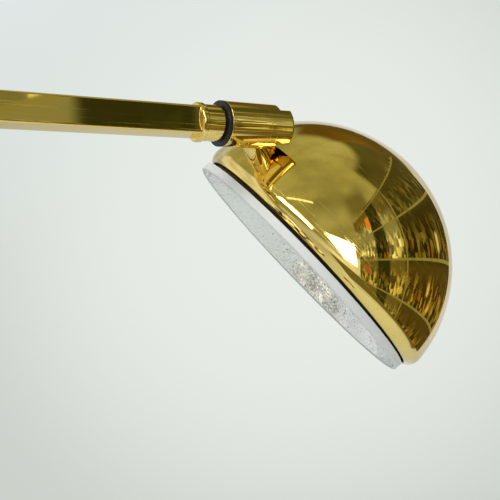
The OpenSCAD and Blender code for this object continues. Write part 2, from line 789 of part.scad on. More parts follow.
module socket_strap() color(steel) in_head() difference() {
    rotate([90, 0, 0]) rotate([0, 0, 90 - strap_past_crown])
        rotate_extrude(angle = 90 + strap_past_crown - post_lat + strap_past_post, $fn = 128)
            translate([strap_in, -strap_w / 2]) square([strap_t, strap_w]);
    along_post() translate([0, 0, strap_in - 5]) cylinder(d = nipple_d + 2 * fit, h = 10);
    translate([0, 0, strap_in - 5]) cylinder(d = stub_d + 2 * fit, h = 10);
}

module stub_nut() color(steel) in_head() translate([0, 0, stub_nut_seat])
    hex_nut(stub_nut_flats, stub_d + 2 * run, stub_nut_t);

module lamp_socket() color(porcelain) in_head() difference() {
    union() {
        rotate_extrude() polygon([[0, socket_mouth], [socket_d / 2, socket_mouth],
                                  [socket_d / 2, shoulder_z],
                                  [shoulder_r, shoulder_z], [shoulder_r, shoulder_z + 3],
                                  [socket_d / 2, shoulder_z + 3], [socket_d / 2, cone_z],
                                  [stub_d / 2 + 2, stub_seat], [0, stub_seat]]);
        cylinder(d = stub_d, h = stub_nut_seat + stub_nut_t);
    }
    translate([0, 0, socket_mouth - eps]) cylinder(d = well_d, h = well_top - socket_mouth + eps);
    cylinder(d = nipple_bore, h = shade_r);
    cylinder(d = well_d, h = socket_mouth);
}

module socket_shell() color(brass) in_head() translate([0, 0, socket_mouth + 2])
    ring(well_d - 2 * fit, cap_d + 2 * fit, well_top - socket_mouth - 4);

module socket_ring() color(porcelain) in_head()
    translate([0, 0, reflector_depth - socket_ring_t]) difference() {
        turned(socket_ring_r, socket_ring_t, 1.5, 0);
        translate([0, 0, -eps]) cylinder(d = socket_d + 2 * fit, h = socket_ring_t + 2 * eps);
    }

module bulb_cap() color(brass) in_head() {
    translate([0, 0, cap_base]) cylinder(d = cap_d, h = cap_len - 3);
    translate([0, 0, cap_top - 3]) cylinder(d1 = cap_d, d2 = 5, h = 3);
}

module bulb_glass() color(opal) in_head() rotate_extrude() bulb_outline();

// Tubular bulb with a round tip and a short neck
module bulb_outline() {
    r = bulb_d / 2;
    tip = cap_base - bulb_len;
    translate([0, tip + r]) square([r, bulb_len - r - 4]);
    intersection() {
        translate([0, tip + r]) circle(r);
        translate([0, tip]) square([r, r]);
    }
    polygon([[0, cap_base - 4], [r, cap_base - 4], [cap_d / 2 - 1, cap_base], [0, cap_base]]);
}

module reflector() color(alloy) in_head()
    rotate([0, 0, reflector_shift_turn]) translate([reflector_shift, 0, 0])
        rotate_extrude($fn = 128) {
            dish_section();
            lip_section();
        }

// The flat around the socket and the spherical wall down to the mouth
module dish_section() {
    translate([dish_hole_r, reflector_depth]) square([dish_flat_r - dish_hole_r + 1, reflector_wall]);
    wall_low = mouth_z - lip_roll_r / 4;
    intersection() {
        translate([0, dish_zc]) difference() {
            circle(dish_r + reflector_wall, $fn = 128);
            circle(dish_r, $fn = 128);
        }
        translate([dish_flat_r, wall_low])
            square([lip_d, reflector_depth + reflector_wall / 2 - wall_low]);
    }
}

// The lip: a roll along the mouth's edge and a band that turns back up below the shade's rim
module lip_section() {
    translate([lip_r - lip_roll_r, mouth_z]) circle(lip_roll_r);
    translate([lip_r - reflector_wall, mouth_z]) square([reflector_wall, -lip_drop - mouth_z]);
}

base_felt();
base_weight();
base_cover();
base_washer();
base_nut();
base_rod();
cord_bush();
foot_flange();
stem_plug();
stem_tube();
stem_lead();
stem_fitting();
fork_stud();
fork_washer();
fork_spring();
fork_nut();
switch_neck();
switch_housing();
dimmer();
dimmer_nut();
dimmer_shaft();
switch_knob();
fork();
pivot_bolt();
pivot_washers();
tension_washer();
tension_knob();
pivot_block();
arm_tube();
tail_tube();
counterweight();
lock_screw();
arm_fitting();
arm_lead();
head_stud();
head_washer();
head_spring();
head_nut();
swivel_barrel();
end_plug();
mount_post();
shade_nipple();
shade_nuts();
shade();
socket_strap();
stub_nut();
lamp_socket();
socket_shell();
socket_ring();
bulb_cap();
bulb_glass();
reflector();
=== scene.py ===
import math

import bmesh
import bpy
from mathutils import Matrix, Vector


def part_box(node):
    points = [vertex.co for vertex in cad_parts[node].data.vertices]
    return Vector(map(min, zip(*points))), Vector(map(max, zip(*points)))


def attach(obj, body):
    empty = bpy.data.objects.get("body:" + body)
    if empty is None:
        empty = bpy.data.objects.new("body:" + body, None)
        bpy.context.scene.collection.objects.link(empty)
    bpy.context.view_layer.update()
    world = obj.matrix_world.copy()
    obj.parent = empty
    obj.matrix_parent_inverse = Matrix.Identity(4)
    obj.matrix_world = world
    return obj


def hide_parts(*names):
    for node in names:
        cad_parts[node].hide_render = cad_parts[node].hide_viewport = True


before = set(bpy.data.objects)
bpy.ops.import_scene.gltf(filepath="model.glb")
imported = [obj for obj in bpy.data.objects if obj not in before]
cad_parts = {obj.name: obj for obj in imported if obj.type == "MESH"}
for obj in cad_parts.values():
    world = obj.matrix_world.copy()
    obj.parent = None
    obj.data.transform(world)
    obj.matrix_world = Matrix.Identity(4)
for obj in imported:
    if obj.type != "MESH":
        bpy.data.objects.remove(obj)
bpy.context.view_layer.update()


# Camera
# It stands a little below the arm, on its near side, and looks along it at the shade.
# Its place, turn and lens were solved from the outlines of the arm, the barrel and the shade.

arm_low, arm_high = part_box("arm_tube")
ARM_HEIGHT = (arm_low.z + arm_high.z) / 2
NECK_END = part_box("head_washer")[0].x

camera_data = bpy.data.cameras.new("camera")
camera_data.sensor_width = 36
camera_data.lens = 56.97
camera = bpy.data.objects.new("camera", camera_data)
camera_right = Vector((0.83500, -0.54468, -0.07806))
camera_up = Vector((0.03261, -0.09263, 0.99517))
camera_back = camera_right.cross(camera_up)
camera_turn = Matrix((camera_right, camera_up, camera_back)).transposed().to_4x4()
camera_place = Vector((NECK_END - 0.17903, -0.28876, ARM_HEIGHT - 0.07621))
camera.matrix_world = Matrix.Translation(camera_place) @ camera_turn
bpy.context.scene.collection.objects.link(camera)
bpy.context.scene.camera = camera
bpy.context.scene.view_settings.view_transform = "Standard"


# Studio
# A pale room with a pool of light on its backdrop. Only reflections show the rest of it: a dim ceiling, two
# windows beside the camera, a bench to its left, a shelf rack and floor boards to its right. Turns are
# measured at the shade's centre, from the camera towards its right.

SHADE_CENTRE = Vector((0.7035, 0.0412, 1.0941))
TOWARDS_CAMERA = Vector((camera_back.x, camera_back.y, 0.0)).normalized()
CAMERA_SIDE = Vector((-TOWARDS_CAMERA.y, TOWARDS_CAMERA.x, 0.0))


def studio_level(turn):
    angle = math.radians(turn)
    return TOWARDS_CAMERA * math.cos(angle) + CAMERA_SIDE * math.sin(angle)


def studio_point(turn, rise, distance):
    angle = math.radians(rise)
    way = studio_level(turn) * math.cos(angle) + Vector((0, 0, math.sin(angle)))
    return SHADE_CENTRE + way * distance


def node(tree, kind, **settings):
    made = tree.nodes.new(kind)
    for key, value in settings.items():
        setattr(made, key, value)
    return made


def math_node(tree, operation, a, b=None):
    made = node(tree, "ShaderNodeMath", operation=operation)
    for i, value in enumerate((a, b)):
        if isinstance(value, (int, float)):
            made.inputs[i].default_value = value
        elif value is not None:
            tree.links.new(value, made.inputs[i])
    return made.outputs[0]


def ramp_node(tree, value, low, high, to_low=0.0, to_high=1.0):
    made = node(tree, "ShaderNodeMapRange", interpolation_type="SMOOTHSTEP")
    tree.links.new(value, made.inputs["Value"])
    made.inputs["From Min"].default_value = low
    made.inputs["From Max"].default_value = high
    made.inputs["To Min"].default_value = to_low
    made.inputs["To Max"].default_value = to_high
    return made.outputs["Result"]


def mix_node(tree, amount, a, b):
    made = node(tree, "ShaderNodeMix", data_type="RGBA")
    tree.links.new(amount, made.inputs["Factor"])
    for name, value in (("A_Color", a), ("B_Color", b)):
        socket = next(s for s in made.inputs if s.identifier == name)
        if isinstance(value, tuple):
            socket.default_value = (*value, 1.0)
        else:
            tree.links.new(value, socket)
    return next(s for s in made.outputs if s.identifier == "Result_Color")


def part_along(tree, vector, way):
    made = node(tree, "ShaderNodeVectorMath", operation="DOT_PRODUCT")
    tree.links.new(vector, made.inputs[0])
    made.inputs[1].default_value = way
    return made.outputs["Value"]


def between(tree, value, low, high, soft):
    rising = ramp_node(tree, value, low - soft, low + soft)
    falling = ramp_node(tree, value, high + soft, high - soft)
    return math_node(tree, "MULTIPLY", rising, falling)


def noise_node(tree, vector, scale, detail=2.0, roughness=0.5):
    made = node(tree, "ShaderNodeTexNoise")
    made.inputs["Scale"].default_value = scale
    made.inputs["Detail"].default_value = detail
    made.inputs["Roughness"].default_value = roughness
    tree.links.new(vector, made.inputs["Vector"])
    return made.outputs["Fac"]


BACKDROP_EDGE = (0.600, 0.642, 0.592)
BACKDROP_POOL = (0.800, 0.845, 0.790)
BACKDROP_CORNER = (0.760, 0.805, 0.800)
ROOM_FILL = (0.50, 0.52, 0.51)
ROOM_IN_METAL = (0.40, 0.41, 0.20)
ROOM_ZONES = {
    # name: (turn from, to, rise from, to, softness, all in degrees, lean of the top edge, colour)
    "camera_side": (-70, 40, -90, 47, 5, 0, (0.30, 0.31, 0.14)),
    "window_wall": (-62, 30, -45, 12, 5, 0, (0.62, 0.65, 0.66)),
    "window_sill": (-12, 44, -12, 1, 3, 0, (1.00, 1.00, 0.86)),
    "window_glow": (6, 36, 20, 38, 7, 0, (0.43, 0.44, 0.25)),
    "bright_ceiling": (70, 140, 64, 82, 7, 0, (0.44, 0.45, 0.24)),
    "beside_rack": (38, 60, 29, 46, 5, 0, (0.17, 0.16, 0.06)),
    "over_rack": (78, 142, 41, 58, 3, 0, (0.10, 0.095, 0.03)),
    "far_wall": (118, 190, 20, 45, 4, 0, (0.13, 0.105, 0.03)),
    "roof_beam": (140, 174, 39, 61, 4, 0, (0.16, 0.095, 0.012)),
    "far_backdrop": (139, 190, -60, 22, 1.2, 0.39, (0.70, 0.73, 0.76)),
    "left_backdrop": (-190, -75, -60, 40, 4, 0, (0.53, 0.56, 0.56)),
    "left_paper": (-140, -74, -30, 46, 4, 0, (0.80, 0.83, 0.82)),
}
world = bpy.data.worlds.new("pale_room")
world.use_nodes = True
bpy.context.scene.world = world
room = world.node_tree
room.nodes.clear()
room_way = node(room, "ShaderNodeTexCoord").outputs["Generated"]
pool_way = (camera_right * 0.05 + camera_up * 0.045 - camera_back).normalized()
pool = ramp_node(room, part_along(room, room_way, pool_way), 0.890, 1.0)
backdrop = mix_node(room, pool, BACKDROP_EDGE, BACKDROP_POOL)
corner_way = (camera_up * 0.8 - camera_right * 0.6).normalized()
corner_glow = ramp_node(room, part_along(room, room_way, corner_way), 0.12, 0.46)
backdrop = mix_node(room, corner_glow, backdrop, BACKDROP_CORNER)

room_rise = math_node(room, "ARCSINE", part_along(room, room_way, (0, 0, 1)))
room_turn = math_node(room, "ARCTAN2", part_along(room, room_way, CAMERA_SIDE),
                      part_along(room, room_way, TOWARDS_CAMERA))
seen_in_metal = ROOM_IN_METAL
for turn_from, turn_to, rise_from, rise_to, soft, lean, colour in ROOM_ZONES.values():
    edges = [math.radians(angle) for angle in (turn_from, turn_to, rise_from, rise_to, soft)]
    past_edge = math_node(room, "SUBTRACT", room_turn, edges[0])
    leaned_rise = math_node(room, "SUBTRACT", room_rise, math_node(room, "MULTIPLY", past_edge, lean))
    zone = math_node(room, "MULTIPLY", between(room, room_turn, edges[0], edges[1], edges[4]),
                     between(room, leaned_rise, edges[2], edges[3], edges[4]))
    seen_in_metal = mix_node(room, zone, seen_in_metal, colour)
room_cloud = noise_node(room, room_way, 3.0, 3.0)
clouded = node(room, "ShaderNodeVectorMath", operation="SCALE")
room.links.new(seen_in_metal, clouded.inputs[0])
room.links.new(ramp_node(room, room_cloud, 0.32, 0.68, 0.78, 1.14), clouded.inputs["Scale"])
seen_in_metal = clouded.outputs[0]
room_path = node(room, "ShaderNodeLightPath")
room_light = mix_node(room, room_path.outputs["Is Glossy Ray"], ROOM_FILL, seen_in_metal)
seen_plain = math_node(room, "MAXIMUM", room_path.outputs["Is Camera Ray"],
                       room_path.outputs["Is Transmission Ray"])
room_light = mix_node(room, seen_plain, room_light, backdrop)
room_shine = node(room, "ShaderNodeBackground")
room.links.new(room_light, room_shine.inputs["Color"])
room.links.new(room_shine.outputs[0], node(room, "ShaderNodeOutputWorld").inputs["Surface"])


def object_place(tree):
    return node(tree, "ShaderNodeTexCoord").outputs["Object"]


def glow(name, strength=1.0, colour=(1.0, 1.0, 1.0)):
    material = bpy.data.materials.new(name)
    material.use_nodes = True
    material.node_tree.nodes.clear()
    shine = node(material.node_tree, "ShaderNodeEmission")
    shine.inputs["Color"].default_value = (*colour, 1.0)
    shine.inputs["Strength"].default_value = strength
    output = node(material.node_tree, "ShaderNodeOutputMaterial")
    material.node_tree.links.new(shine.outputs[0], output.inputs["Surface"])
    return material, material.node_tree, shine


def studio_sheet(name, corners, material, lights=True):
    """A sheet that the camera doesn't see. One that lights nothing shows in reflections alone."""
    mesh = bpy.data.meshes.new(name)
    made = bmesh.new()
    made.faces.new([made.verts.new(corner) for corner in corners])
    made.to_mesh(mesh)
    made.free()
    mesh.materials.append(material)
    sheet = bpy.data.objects.new(name, mesh)
    sheet.visible_camera = False
    sheet.visible_shadow = False
    sheet.visible_diffuse = lights
    sheet.visible_transmission = lights
    bpy.context.scene.collection.objects.link(sheet)


WINDOW_DISTANCE = 1.9
daylight = glow("daylight", 6.0, (1.0, 0.99, 0.95))[0]
tube_light = glow("tube_light", 1.5, (1.0, 0.96, 0.70))[0]
for name, corners, material in (
        ("window_low", ((12.5, 21.2), (33.7, 10.5), (34.6, -5.0), (25.0, 1.0)), daylight),
        ("window_high", ((-22.0, 49.5), (4.0, 24.0), (-6.0, 16.0), (-42.0, 36.0)), daylight),
        ("ceiling_tube", ((-16.0, 50.6), (9.0, 44.8), (9.0, 43.2), (-16.0, 49.0)), tube_light)):
    studio_sheet(name, [studio_point(turn, rise, WINDOW_DISTANCE) for turn, rise in corners], material)

# The bench is a glowing sheet that lights nothing and shows only in reflections. Its bright patches glow
# above white as painted glints, which sparkle in the hammered reflector.
BENCH_DISTANCE = 1.15
BENCH_TURNS = (-97, -55)
BENCH_LOW = 0.20
BENCH_TOP = 0.98
BENCH_DARK = (0.07, 0.06, 0.04)
BENCH_GLINT = (2.00, 1.85, 1.50)
GLINTS_PER_METRE = 11.0
bench_paint, bench_tree, bench_glow = glow("bench")
bench_glints = node(bench_tree, "ShaderNodeTexVoronoi")
bench_glints.inputs["Scale"].default_value = GLINTS_PER_METRE
bench_tree.links.new(object_place(bench_tree), bench_glints.inputs["Vector"])
bench_draw = node(bench_tree, "ShaderNodeSeparateColor")
bench_tree.links.new(bench_glints.outputs["Color"], bench_draw.inputs[0])
bright_glints = ramp_node(bench_tree, bench_draw.outputs[0], 0.64, 0.72)
bench_tree.links.new(mix_node(bench_tree, bright_glints, BENCH_DARK, BENCH_GLINT), bench_glow.inputs["Color"])
bench_left, bench_right = [studio_point(turn, 0, BENCH_DISTANCE) for turn in BENCH_TURNS]
bench_corners = ((bench_left, BENCH_LOW), (bench_right, BENCH_LOW),
                 (bench_right, BENCH_TOP), (bench_left, BENCH_TOP))
studio_sheet("bench", [Vector((end.x, end.y, height)) for end, height in bench_corners], bench_paint,
             lights=False)

OVERHEAD_SIDE = 2.6
OVERHEAD_WATTS = 36.0
OVERHEAD_TURN = 60
OVERHEAD_RISE = 80
OVERHEAD_DISTANCE = 2.2
overhead_data = bpy.data.lights.new("overhead", "AREA")
overhead_data.shape = "RECTANGLE"
overhead_data.size = OVERHEAD_SIDE
overhead_data.size_y = OVERHEAD_SIDE
overhead_data.energy = OVERHEAD_WATTS
overhead = bpy.data.objects.new("overhead", overhead_data)
overhead.location = studio_point(OVERHEAD_TURN, OVERHEAD_RISE, OVERHEAD_DISTANCE)
overhead.rotation_euler = (SHADE_CENTRE - overhead.location).to_track_quat("-Z", "Y").to_euler()
overhead.visible_camera = False
overhead.visible_glossy = False
bpy.context.scene.collection.objects.link(overhead)

RACK_FACING = 97
RACK_DISTANCE = 1.4
RACK_LEFT = -2.42
RACK_RIGHT = 1.28
RACK_TOP = 2.42
RACK_POST = -0.51
RACK_POST_HALF = 0.018
SHELF_PITCH = 0.65
SHELF_START = 0.42
SHELF_EDGE_HALF = 0.026
GOODS_WIDTH = 0.05
GOODS_HEIGHT = 0.13
MIDDLE_TONE = (0.085, 0.074, 0.018)
HIGH_TONE = (0.125, 0.120, 0.036)
LOW_TONE = (0.15, 0.112, 0.025)
LEFT_TONE = (0.25, 0.22, 0.07)
PALE_TONE = (0.48, 0.50, 0.30)
DARK_TONE = (0.06, 0.066, 0.018)
WARM_TONE = (0.30, 0.13, 0.02)
BAR_TONE = (0.30, 0.30, 0.13)
SINGLE_GOODS = (
    # left and right across the rack, low and high above the floor, in metres, then the colour
    (-1.66, -1.46, 1.84, 2.16, (0.85, 0.32, 0.05)),
    (-2.05, -1.86, 0.70, 0.94, (0.45, 0.10, 0.04)),
    (-0.78, -0.68, 1.10, 1.26, (0.85, 0.80, 0.36)),
    (0.46, 0.56, 1.16, 1.34, (0.85, 0.72, 0.34)),
    (0.12, 0.19, 0.66, 0.80, (0.90, 0.66, 0.26)),
    (0.30, 0.38, 0.48, 0.58, (0.85, 0.50, 0.10)),
)


def near(tree, value, place, half):
    """1 where the value lies within half of the place, 0 elsewhere."""
    off = math_node(tree, "ABSOLUTE", math_node(tree, "SUBTRACT", value, place))
    return math_node(tree, "LESS_THAN", off, half)


rack_foot = studio_point(RACK_FACING, 0, RACK_DISTANCE)
rack_along = studio_level(RACK_FACING + 90)
rack_paint, rack_tree, rack_glow = glow("rack")
rack_where = object_place(rack_tree)
rack_across = math_node(rack_tree, "SUBTRACT", part_along(rack_tree, rack_where, rack_along),
                        rack_foot.dot(rack_along))
rack_height = part_along(rack_tree, rack_where, (0, 0, 1))
shelf_place = math_node(rack_tree, "DIVIDE",
                        math_node(rack_tree, "SUBTRACT", rack_height, SHELF_START), SHELF_PITCH)
shelf_part = math_node(rack_tree, "FRACT", shelf_place)
goods_place = node(rack_tree, "ShaderNodeCombineXYZ")
rack_tree.links.new(math_node(rack_tree, "DIVIDE", rack_across, GOODS_WIDTH), goods_place.inputs["X"])
rack_tree.links.new(math_node(rack_tree, "DIVIDE", rack_height, GOODS_HEIGHT), goods_place.inputs["Y"])
goods = node(rack_tree, "ShaderNodeTexVoronoi", voronoi_dimensions="2D", distance="CHEBYCHEV")
goods.inputs["Scale"].default_value = 1.0
rack_tree.links.new(goods_place.outputs[0], goods.inputs["Vector"])
goods_draw = node(rack_tree, "ShaderNodeSeparateColor")
rack_tree.links.new(goods.outputs["Color"], goods_draw.inputs[0])
high_up = ramp_node(rack_tree, rack_height, 1.60, 1.75)
low_down = ramp_node(rack_tree, rack_height, 1.07, 0.98)
past_post = ramp_node(rack_tree, rack_across, -0.52, -0.62)
pale_end = math_node(rack_tree, "MULTIPLY", past_post, between(rack_tree, rack_height, 1.10, 1.95, 0.10))
dark_strip = between(rack_tree, rack_across, -1.46, -1.02, 0.04)
rack_tone = MIDDLE_TONE
for here, tone in ((high_up, HIGH_TONE), (low_down, LOW_TONE), (past_post, LEFT_TONE),
                   (pale_end, PALE_TONE), (dark_strip, DARK_TONE)):
    rack_tone = mix_node(rack_tree, here, rack_tone, tone)
goods_here = math_node(rack_tree, "MULTIPLY", ramp_node(rack_tree, shelf_part, 0.90, 0.25),
                       ramp_node(rack_tree, rack_height, 1.80, 1.60, 0.45, 1.0))
goods_shade = ramp_node(rack_tree, goods_draw.outputs[0], 0.40, 1.0, 0.30, 3.2)
rack_shade = node(rack_tree, "ShaderNodeMix", data_type="FLOAT")
rack_shade.inputs["A"].default_value = 0.6
rack_tree.links.new(goods_here, rack_shade.inputs["Factor"])
rack_tree.links.new(goods_shade, rack_shade.inputs["B"])
rack_look = node(rack_tree, "ShaderNodeVectorMath", operation="SCALE")
rack_tree.links.new(rack_tone, rack_look.inputs[0])
rack_tree.links.new(rack_shade.outputs["Result"], rack_look.inputs["Scale"])
warm_goods = math_node(rack_tree, "MULTIPLY", goods_here,
                       ramp_node(rack_tree, goods_draw.outputs[1], 0.90, 0.94))
rack_look = mix_node(rack_tree, warm_goods, rack_look.outputs[0], WARM_TONE)
for left, right, low, high, colour in SINGLE_GOODS:
    one_item = math_node(rack_tree, "MULTIPLY", between(rack_tree, rack_across, left, right, 0.03),
                         between(rack_tree, rack_height, low, high, 0.04))
    rack_look = mix_node(rack_tree, one_item, rack_look, colour)
half_shelf_up = math_node(rack_tree, "FRACT", math_node(rack_tree, "ADD", shelf_place, 0.5))
shelf_edge = near(rack_tree, half_shelf_up, 0.5, SHELF_EDGE_HALF)
rack_post = near(rack_tree, rack_across, RACK_POST, RACK_POST_HALF)
rack_bars = math_node(rack_tree, "MAXIMUM", shelf_edge, rack_post)
rack_look = mix_node(rack_tree, rack_bars, rack_look, BAR_TONE)
rack_tree.links.new(rack_look, rack_glow.inputs["Color"])
rack_corners = ((RACK_LEFT, 0.0), (RACK_RIGHT, 0.0), (RACK_RIGHT, RACK_TOP), (RACK_LEFT, RACK_TOP))
studio_sheet("rack", [Vector((rack_foot.x, rack_foot.y, height)) + rack_along * across
                      for across, height in rack_corners], rack_paint, lights=False)

BOARDS_NEAR = 0.8
BOARDS_FAR = 4.4
BOARDS_TURNS = range(-12, 133, 12)
BOARDS_LEVEL = 0.003
PAPER_TONE = (0.66, 0.69, 0.66)
BOARDS_TONE = (0.17, 0.14, 0.045)
boards_middle = SHADE_CENTRE + studio_level(-80) * 0.1
boards_paint, boards_tree, boards_glow = glow("floor_boards")
boards_where = node(boards_tree, "ShaderNodeVectorMath", operation="DISTANCE")
boards_tree.links.new(object_place(boards_tree), boards_where.inputs[0])
boards_where.inputs[1].default_value = (boards_middle.x, boards_middle.y, 0.0)
past_paper = ramp_node(boards_tree, boards_where.outputs["Value"], 1.0, 1.25)
boards_tree.links.new(mix_node(boards_tree, past_paper, PAPER_TONE, BOARDS_TONE), boards_glow.inputs["Color"])
boards_edge = [(turn, BOARDS_NEAR) for turn in BOARDS_TURNS]
boards_edge += [(turn, BOARDS_FAR) for turn in reversed(BOARDS_TURNS)]
boards_under = Vector((SHADE_CENTRE.x, SHADE_CENTRE.y, BOARDS_LEVEL))
studio_sheet("floor_boards", [boards_under + studio_level(turn) * out for turn, out in boards_edge],
             boards_paint, lights=False)

FLOOR_RADIUS = 5.0
FLOOR_WHOLE_TO = 1.6
FLOOR_GONE_FROM = 4.7
floor_mesh = bpy.data.meshes.new("floor")
floor_made = bmesh.new()
bmesh.ops.create_circle(floor_made, cap_ends=True, radius=FLOOR_RADIUS, segments=96)
floor_made.to_mesh(floor_mesh)
floor_made.free()
floor = bpy.data.objects.new("floor", floor_mesh)
bpy.context.scene.collection.objects.link(floor)
floor_material = bpy.data.materials.new("floor")
floor_material.use_nodes = True
floor_tree = floor_material.node_tree
floor_paint = floor_tree.nodes["Principled BSDF"]
floor_paint.inputs["Base Color"].default_value = (0.80, 0.84, 0.81, 1.0)
floor_paint.inputs["Roughness"].default_value = 0.9
floor_paint.inputs["Specular IOR Level"].default_value = 0.1
floor_out = node(floor_tree, "ShaderNodeVectorMath", operation="LENGTH")
floor_tree.links.new(object_place(floor_tree), floor_out.inputs[0])
floor_fade = node(floor_tree, "ShaderNodeMixShader")
floor_tree.links.new(ramp_node(floor_tree, floor_out.outputs["Value"], FLOOR_WHOLE_TO, FLOOR_GONE_FROM),
                     floor_fade.inputs[0])
floor_tree.links.new(floor_paint.outputs[0], floor_fade.inputs[1])
floor_tree.links.new(node(floor_tree, "ShaderNodeBsdfTransparent").outputs[0], floor_fade.inputs[2])
floor_tree.links.new(floor_fade.outputs[0], floor_tree.nodes["Material Output"].inputs["Surface"])
floor_mesh.materials.append(floor_material)


# Felt and base weight
# A die-cut ring of green wool felt is glued under a disc of sand-cast iron, which keeps the lamp upright.
# The casting is dipped in black and left rough.


def principled(name, colour, roughness, metallic=0.0):
    material = bpy.data.materials.new(name)
    material.use_nodes = True
    shader = material.node_tree.nodes["Principled BSDF"]
    shader.inputs["Base Color"].default_value = (*colour, 1.0)
    shader.inputs["Roughness"].default_value = roughness
    shader.inputs["Metallic"].default_value = metallic
    return material, material.node_tree, shader


def dress(material, *names):
    for name in names:
        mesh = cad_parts[name].data
        mesh.materials.clear()
        mesh.materials.append(material)


def bump_node(tree, shader, height, strength, distance):
    made = node(tree, "ShaderNodeBump")
    made.inputs["Strength"].default_value = strength
    made.inputs["Distance"].default_value = distance
    tree.links.new(height, made.inputs["Height"])
    tree.links.new(made.outputs["Normal"], shader.inputs["Normal"])


felt, felt_tree, felt_shader = principled("felt", (0.05, 0.08, 0.06), 0.95)
felt_tuft = noise_node(felt_tree, object_place(felt_tree), 900.0, 3.0)
felt_tree.links.new(mix_node(felt_tree, felt_tuft, (0.025, 0.045, 0.032), (0.085, 0.125, 0.095)),
                    felt_shader.inputs["Base Color"])
bump_node(felt_tree, felt_shader, felt_tuft, 0.8, 0.0005)
dress(felt, "base_felt")

iron, iron_tree, iron_shader = principled("cast_iron", (0.03, 0.03, 0.032), 0.7)
iron_grain = noise_node(iron_tree, object_place(iron_tree), 420.0, 4.0, 0.65)
iron_tree.links.new(mix_node(iron_tree, iron_grain, (0.018, 0.018, 0.019), (0.06, 0.06, 0.062)),
                    iron_shader.inputs["Base Color"])
bump_node(iron_tree, iron_shader, iron_grain, 0.6, 0.0006)
dress(iron, "base_weight")


# Steel fixings
# The base's rod, nut and washer, both swivels' studs, springs and ring nuts, the pivot bolt and the lamp's
# fixings are turned or stamped steel with bright zinc plate.

zinc, zinc_tree, zinc_shader = principled("zinc", (0.62, 0.63, 0.65), 0.3, 1.0)
zinc_cloud = noise_node(zinc_tree, object_place(zinc_tree), 300.0, 3.0)
zinc_tree.links.new(mix_node(zinc_tree, zinc_cloud, (0.56, 0.57, 0.58), (0.70, 0.71, 0.73)),
                    zinc_shader.inputs["Base Color"])
zinc_tree.links.new(ramp_node(zinc_tree, zinc_cloud, 0.3, 0.7, 0.22, 0.40), zinc_shader.inputs["Roughness"])
dress(zinc, "base_rod", "base_washer", "base_nut", "fork_stud", "fork_spring", "fork_nut", "dimmer_nut",
      "dimmer_shaft", "pivot_bolt", "tension_washer", "lock_screw", "head_stud", "head_spring", "head_nut",
      "shade_nipple", "shade_nuts", "socket_strap", "stub_nut")


# Black washers and bush
# The washers that the fork, the pivot and the head turn on, and the bush that lines the cord's way out of
# the base, are moulded from black nylon with a satin skin.

nylon, nylon_tree, nylon_shader = principled("black_nylon", (0.006, 0.006, 0.006), 0.5)
nylon_grain = noise_node(nylon_tree, object_place(nylon_tree), 1500.0, 2.0)
nylon_tree.links.new(ramp_node(nylon_tree, nylon_grain, 0.3, 0.7, 0.44, 0.62),
                     nylon_shader.inputs["Roughness"])
bump_node(nylon_tree, nylon_shader, nylon_grain, 0.15, 0.0001)
dress(nylon, "cord_bush", "fork_washer", "pivot_washers", "head_washer")


# Leads
# Two-core mains lead in a round black sheath. One length is threaded through the stem, and another through
# the arm to the head.

sheath, sheath_tree, sheath_shader = principled("lead_sheath", (0.015, 0.015, 0.016), 0.5)
sheath_grain = noise_node(sheath_tree, object_place(sheath_tree), 700.0)
sheath_tree.links.new(ramp_node(sheath_tree, sheath_grain, 0.3, 0.7, 0.42, 0.6),
                      sheath_shader.inputs["Roughness"])
dress(sheath, "stem_lead", "arm_lead")


# Base cover and foot flange
# The cover is spun from brass sheet over the weight, and the flange is turned from bar. All the lamp's
# brass is polished to a mirror and lacquered, with fine lines left along the way it was worked.

finish = bpy.data.node_groups.new("brass_finish", "ShaderNodeTree")
for name, way, kind in (("Place", "INPUT", "NodeSocketVector"),
                        ("Grain Place", "INPUT", "NodeSocketVector"),
                        ("Wear", "INPUT", "NodeSocketFloat"),
                        ("Color", "OUTPUT", "NodeSocketColor"),
                        ("Roughness", "OUTPUT", "NodeSocketFloat"),
                        ("Height", "OUTPUT", "NodeSocketFloat")):
    finish.interface.new_socket(name, in_out=way, socket_type=kind)
finish_in = node(finish, "NodeGroupInput")
finish_out = node(finish, "NodeGroupOutput")
lacquer_drift = ramp_node(finish, noise_node(finish, finish_in.outputs["Place"], 16.0, 3.0), 0.35, 0.70)
finish_tone = mix_node(finish, lacquer_drift, (0.880, 0.665, 0.220), (0.845, 0.615, 0.185))
tarnish_specks = noise_node(finish, finish_in.outputs["Place"], 520.0, 1.0)
tarnish = ramp_node(finish, tarnish_specks, 0.74, 0.80, 0.0, 0.35)
finish_tone = mix_node(finish, tarnish, finish_tone, (0.42, 0.24, 0.07))
work_lines = ramp_node(finish, noise_node(finish, finish_in.outputs["Grain Place"], 1.0, 2.0), 0.57, 0.70)
work_lines = math_node(finish, "MULTIPLY", work_lines, finish_in.outputs["Wear"])
handling_marks = noise_node(finish, finish_in.outputs["Place"], 60.0, 4.0, 0.6)
handling = ramp_node(finish, handling_marks, 0.40, 0.75, 0.0, 0.030)
finish_rough = math_node(finish, "ADD", handling, 0.022)
finish_rough = math_node(finish, "ADD", finish_rough, math_node(finish, "MULTIPLY", work_lines, 0.34))
finish.links.new(finish_tone, finish_out.inputs["Color"])
finish.links.new(finish_rough, finish_out.inputs["Roughness"])
finish.links.new(work_lines, finish_out.inputs["Height"])


